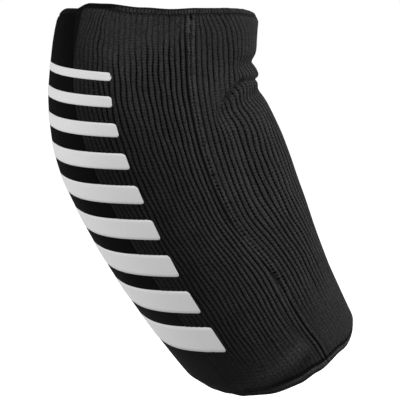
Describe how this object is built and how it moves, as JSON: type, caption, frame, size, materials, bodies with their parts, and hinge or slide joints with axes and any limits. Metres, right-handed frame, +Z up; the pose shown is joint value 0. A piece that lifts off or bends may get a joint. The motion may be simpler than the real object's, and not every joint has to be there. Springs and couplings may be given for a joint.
{
  "type": "arm guard",
  "caption": "Bent pull-on elbow sleeve of ribbed knit with a smooth padded strip down the outside of the elbow, flat side seams and sewn hems, open at both ends for an arm.",
  "frame": {"origin": "on the line of the arm at the elbow, inside the open sleeve", "axes": "+Z up along the upper arm, +X out of the crook of the arm, so that the pad is on the -X side, and +Y to the far side"},
  "size_m": [0.186, 0.0978, 0.2321],
  "materials": {
    "rib_knit": "matt charcoal black rib knit with a soft sheen",
    "pad_knit": "matt black plain knit over foam",
    "hem_knit": "matt black overlocked hem"
  },
  "bodies": {
    "root": {"pad_panel": "pad_knit", "side_panel_near": "rib_knit", "side_panel_far": "rib_knit", "back_panel": "rib_knit", "side_seam_near": "rib_knit", "side_seam_far": "rib_knit", "top_hem": "hem_knit", "bottom_hem": "hem_knit"}
  },
  "joints": []
}
